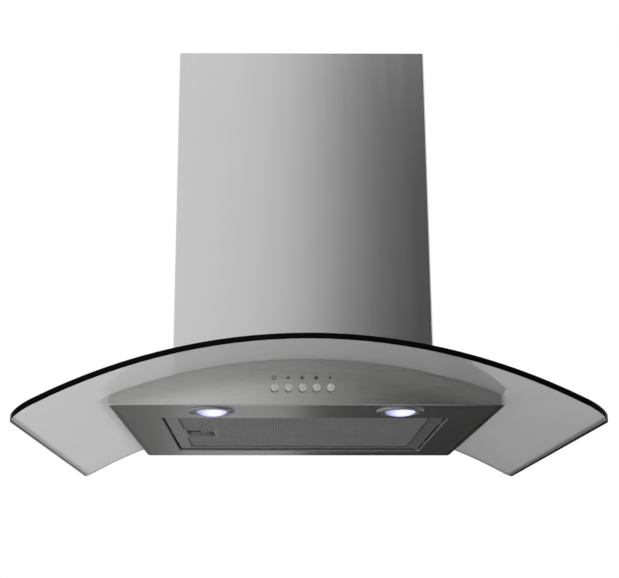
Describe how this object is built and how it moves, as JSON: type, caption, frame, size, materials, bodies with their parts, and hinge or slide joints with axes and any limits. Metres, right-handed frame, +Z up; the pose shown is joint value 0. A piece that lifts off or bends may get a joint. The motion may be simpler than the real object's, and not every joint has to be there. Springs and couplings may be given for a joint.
{
  "type": "curved glass range hood",
  "caption": "Wall-mounted chimney range hood with a bent glass canopy, push buttons, lamps and a drop-down grease filter.",
  "frame": {"origin": "centre of the four wall screw holes, in the wall plane", "axes": "+Z up, -Y out of the wall towards the cook, X along the wall"},
  "size_m": [0.6, 0.48, 0.5111],
  "materials": {
    "stainless": "fine brushed stainless steel",
    "canopy_glass": "grey tinted toughened glass with dark ground edges",
    "seal": "black foam and rubber",
    "galvanised": "galvanised sheet",
    "filter_aluminium": "pressed and expanded aluminium",
    "fasteners": "zinc plated",
    "lamp_metal": "satin die casting",
    "lamp_lens": "frosted lens",
    "led_board": "white board with a domed emitter",
    "buttons": "satin metallised caps",
    "spring_steel": "spring wire",
    "black_plastic": "moulded black plastic",
    "grey_plastic": "moulded grey plastic",
    "white_plastic": "moulded white plastic",
    "motor_paint": "semi-gloss black enamel",
    "capacitor_can": "glossy white can",
    "dark_steel": "dark latch steel"
  },
  "bodies": {
    "hood": {"arched_deck": "galvanised", "body_frame": "stainless", "button_spring_1": "spring_steel", "button_spring_2": "spring_steel", "button_spring_3": "spring_steel", "button_spring_4": "spring_steel", "button_spring_5": "spring_steel", "cable_gland": "black_plastic", "capacitor": "capacitor_can", "capacitor_strap": "galvanised", "chassis": "galvanised", "chassis_front_cover": "galvanised", "chimney_lower": "stainless", "flap_pin": "fasteners", "glass_canopy": "canopy_glass", "glass_grommets": "seal", "glass_nuts": "fasteners", "glass_screws": "fasteners", "glass_seal": "seal", "glass_washers": "fasteners", "lamp_body_left": "lamp_metal", "lamp_body_right": "lamp_metal", "lamp_led_left": "led_board", "lamp_led_right": "led_board", "lamp_lens_left": "lamp_lens", "lamp_lens_right": "lamp_lens", "lamp_trim_left": "lamp_metal", "lamp_trim_right": "lamp_metal", "led_driver": "white_plastic", "motor": "motor_paint", "motor_bracket": "galvanised", "motor_grommets": "seal", "motor_nuts": "fasteners", "outlet_collar": "black_plastic", "pan_head_screws": "fasteners", "scroll_half_left": "grey_plastic", "scroll_half_right": "grey_plastic", "switch_block": "black_plastic", "terminal_block": "white_plastic", "terminal_box": "grey_plastic", "terminal_box_lid": "grey_plastic", "underside_panel": "stainless"},
    "upper_chimney": {"chimney_upper": "stainless", "chimney_bracket": "galvanised", "bracket_screws": "fasteners"},
    "impeller": {"impeller": "galvanised", "motor_shaft": "fasteners"},
    "check_flap_front": {"check_flap_front": "black_plastic"},
    "check_flap_rear": {"check_flap_rear": "black_plastic"},
    "filter": {"filter_frame": "filter_aluminium", "filter_mesh_sheets": "filter_aluminium", "filter_core": "filter_aluminium", "latch_pocket": "filter_aluminium", "latch_spring": "spring_steel"},
    "latch": {"filter_latch": "dark_steel"},
    "button_1": {"button_1": "buttons"},
    "button_2": {"button_2": "buttons"},
    "button_3": {"button_3": "buttons"},
    "button_4": {"button_4": "buttons"},
    "button_5": {"button_5": "buttons"}
  },
  "joints": [
    {"name": "upper_chimney_slide", "type": "slide", "parent": "hood", "child": "upper_chimney", "axis": [0, 0, 1], "range_m": [0, 0.35]},
    {"name": "impeller_spin", "type": "hinge", "parent": "hood", "child": "impeller", "pos_m": [0, -0.085, -0.005], "axis": [-1, 0, 0], "continuous": true},
    {"name": "check_flap_front_lift", "type": "hinge", "parent": "hood", "child": "check_flap_front", "pos_m": [0, -0.139, 0.112], "axis": [-1, 0, 0], "range_deg": [0, 75]},
    {"name": "check_flap_rear_lift", "type": "hinge", "parent": "hood", "child": "check_flap_rear", "pos_m": [0, -0.139, 0.112], "axis": [1, 0, 0], "range_deg": [0, 75]},
    {"name": "filter_swing", "type": "hinge", "parent": "hood", "child": "filter", "pos_m": [0.1642, -0.175, -0.1657], "axis": [0, -1, 0], "range_deg": [0, 60]},
    {"name": "filter_latch_slide", "type": "slide", "parent": "filter", "child": "latch", "axis": [1, 0, 0], "range_m": [0, 0.005], "stiffness_N_per_m": 300, "springref_m": -0.004, "deforming": ["latch_spring"]},
    {"name": "button_1_press", "type": "slide", "parent": "hood", "child": "button_1", "axis": [0, 1, 0], "range_m": [0, 0.003], "stiffness_N_per_m": 250, "springref_m": -0.004, "deforming": ["button_spring_1"]},
    {"name": "button_2_press", "type": "slide", "parent": "hood", "child": "button_2", "axis": [0, 1, 0], "range_m": [0, 0.003], "stiffness_N_per_m": 250, "springref_m": -0.004, "deforming": ["button_spring_2"]},
    {"name": "button_3_press", "type": "slide", "parent": "hood", "child": "button_3", "axis": [0, 1, 0], "range_m": [0, 0.003], "stiffness_N_per_m": 250, "springref_m": -0.004, "deforming": ["button_spring_3"]},
    {"name": "button_4_press", "type": "slide", "parent": "hood", "child": "button_4", "axis": [0, 1, 0], "range_m": [0, 0.003], "stiffness_N_per_m": 250, "springref_m": -0.004, "deforming": ["button_spring_4"]},
    {"name": "button_5_press", "type": "slide", "parent": "hood", "child": "button_5", "axis": [0, 1, 0], "range_m": [0, 0.003], "stiffness_N_per_m": 250, "springref_m": -0.004, "deforming": ["button_spring_5"]}
  ]
}
